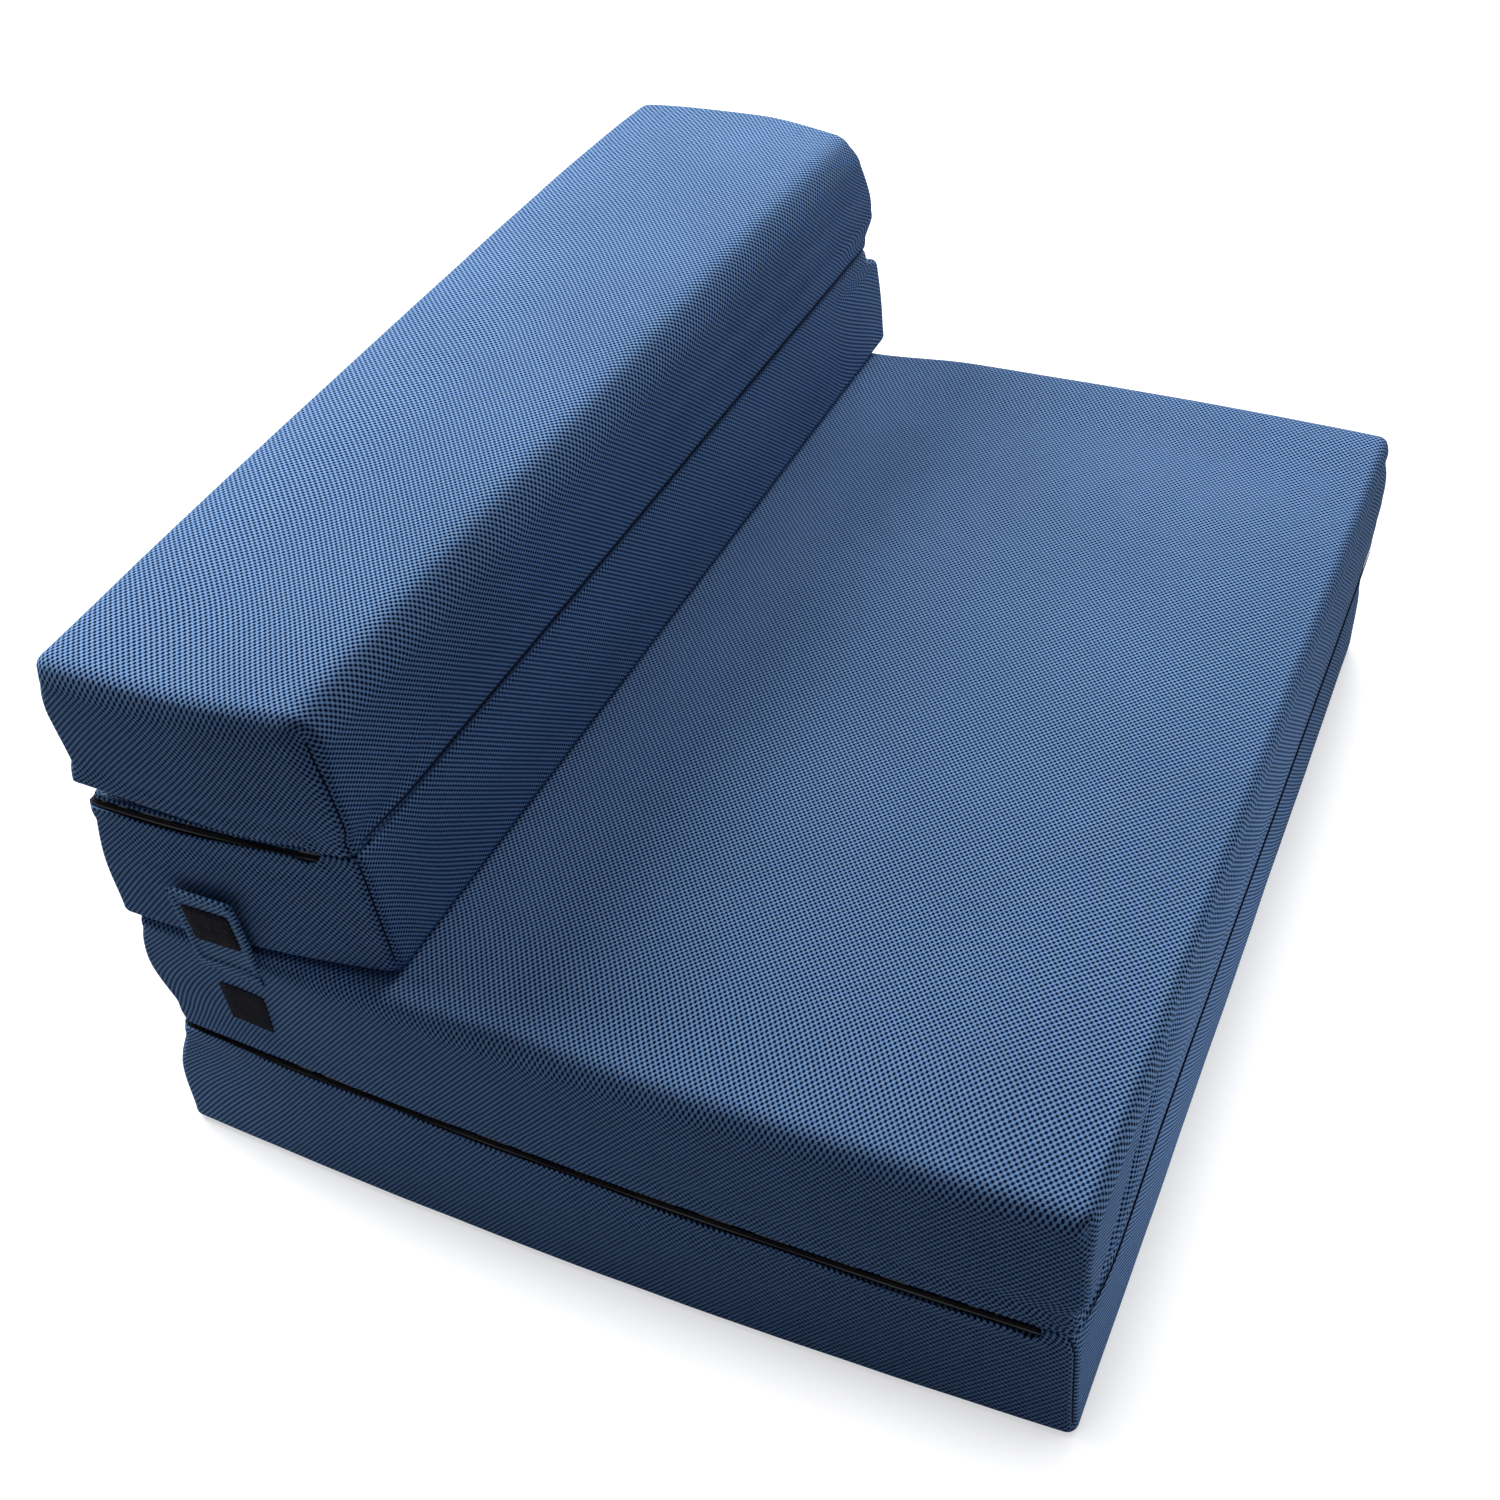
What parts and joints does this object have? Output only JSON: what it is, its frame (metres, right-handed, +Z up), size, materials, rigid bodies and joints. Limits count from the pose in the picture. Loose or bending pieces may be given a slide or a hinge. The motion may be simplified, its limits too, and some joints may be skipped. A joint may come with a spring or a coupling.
{
  "type": "folding mattress",
  "caption": "Folding foam mattress stacked as a low seat with a backrest, in a zipped mesh cover with fold hinges along its seams and fastening tabs at its ends.",
  "frame": {"origin": "on the floor, under the middle of the folded stack", "axes": "+X runs along the mattress's width, towards the end where the zip sliders are parked; -Y is the seat's front, +Y its backrest; +Z is up"},
  "size_m": [0.9994, 0.762, 0.4914],
  "materials": {
    "air_mesh": "matte",
    "foam": "matte",
    "zip_cloth": "matte",
    "zip_nylon": "satin",
    "zip_metal": "satin",
    "hook_and_loop": "matte"
  },
  "bodies": {
    "seat_lower": {"seat_lower_foam": "foam", "seat_lower_cover": "air_mesh", "seat_lower_base_sheet": "air_mesh", "seat_lower_zip_tape_cover": "zip_cloth", "seat_lower_zip_tape_base": "zip_cloth", "seat_lower_zip_coil": "zip_nylon", "seat_fold_strip": "air_mesh"},
    "seat_upper": {"seat_upper_foam": "foam", "seat_upper_cover": "air_mesh", "seat_upper_base_sheet": "air_mesh", "seat_upper_zip_tape_cover": "zip_cloth", "seat_upper_zip_tape_base": "zip_cloth", "seat_upper_zip_coil": "zip_nylon", "rear_fold_strip": "air_mesh", "near_tab_root": "air_mesh", "near_tab_loop": "hook_and_loop", "far_tab_root": "air_mesh", "far_tab_loop": "hook_and_loop"},
    "back_lower": {"back_lower_foam": "foam", "back_lower_cover": "air_mesh", "back_lower_base_sheet": "air_mesh", "back_lower_zip_tape_cover": "zip_cloth", "back_lower_zip_tape_base": "zip_cloth", "back_lower_zip_coil": "zip_nylon", "backrest_fold_strip": "air_mesh"},
    "back_upper": {"back_upper_foam": "foam", "back_upper_cover": "air_mesh", "back_upper_base_sheet": "air_mesh", "back_upper_zip_tape_cover": "zip_cloth", "back_upper_zip_tape_base": "zip_cloth", "back_upper_zip_coil": "zip_nylon"},
    "near_flap": {"near_tab": "air_mesh", "near_tab_hook": "hook_and_loop"},
    "far_flap": {"far_tab": "air_mesh", "far_tab_hook": "hook_and_loop"},
    "seat_lower_slider": {"seat_lower_zip_slider": "zip_metal"},
    "seat_upper_slider": {"seat_upper_zip_slider": "zip_metal"},
    "back_lower_slider": {"back_lower_zip_slider": "zip_metal"},
    "back_upper_slider": {"back_upper_zip_slider": "zip_metal"},
    "seat_lower_pull": {"seat_lower_zip_pull": "zip_metal"},
    "seat_upper_pull": {"seat_upper_zip_pull": "zip_metal"},
    "back_lower_pull": {"back_lower_zip_pull": "zip_metal"},
    "back_upper_pull": {"back_upper_zip_pull": "zip_metal"}
  },
  "joints": [
    {"name": "seat_fold", "type": "hinge", "parent": "seat_lower", "child": "seat_upper", "pos_m": [0, -0.381, 0.1227], "axis": [1, 0, 0], "range_deg": [0, 180]},
    {"name": "back_fold", "type": "hinge", "parent": "seat_upper", "child": "back_lower", "pos_m": [0, 0.381, 0.2458], "axis": [-1, 0, 0], "range_deg": [0, 180]},
    {"name": "backrest_fold", "type": "hinge", "parent": "back_lower", "child": "back_upper", "pos_m": [0, 0.1524, 0.3689], "axis": [1, 0, 0], "range_deg": [0, 180]},
    {"name": "near_tab_fold", "type": "hinge", "parent": "seat_upper", "child": "near_flap", "pos_m": [-0.49212, 0.289, 0.22362], "axis": [0, -1, 0], "range_deg": [0, 175]},
    {"name": "far_tab_fold", "type": "hinge", "parent": "seat_upper", "child": "far_flap", "pos_m": [0.49212, 0.289, 0.22362], "axis": [0, 1, 0], "range_deg": [0, 175]},
    {"name": "seat_lower_zip_slide", "type": "slide", "parent": "seat_lower", "child": "seat_lower_slider", "axis": [0, 1, 0], "range_m": [0, 0.699]},
    {"name": "seat_upper_zip_slide", "type": "slide", "parent": "seat_upper", "child": "seat_upper_slider", "axis": [0, 1, 0], "range_m": [0, 0.699]},
    {"name": "back_lower_zip_slide", "type": "slide", "parent": "back_lower", "child": "back_lower_slider", "axis": [0, 1, 0], "range_m": [0, 0.166]},
    {"name": "back_upper_zip_slide", "type": "slide", "parent": "back_upper", "child": "back_upper_slider", "axis": [0, 1, 0], "range_m": [0, 0.166]},
    {"name": "seat_lower_pull_flip", "type": "hinge", "parent": "seat_lower_slider", "child": "seat_lower_pull", "pos_m": [0.48565, -0.3442, 0.1144], "axis": [0, 0, -1], "range_deg": [0, 175]},
    {"name": "seat_upper_pull_flip", "type": "hinge", "parent": "seat_upper_slider", "child": "seat_upper_pull", "pos_m": [0.48565, -0.3442, 0.13068], "axis": [0, 0, -1], "range_deg": [0, 175]},
    {"name": "back_lower_pull_flip", "type": "hinge", "parent": "back_lower_slider", "child": "back_lower_pull", "pos_m": [0.48565, 0.1892, 0.36079], "axis": [0, 0, -1], "range_deg": [0, 175]},
    {"name": "back_upper_pull_flip", "type": "hinge", "parent": "back_upper_slider", "child": "back_upper_pull", "pos_m": [0.48565, 0.1892, 0.37675], "axis": [0, 0, -1], "range_deg": [0, 175]}
  ]
}
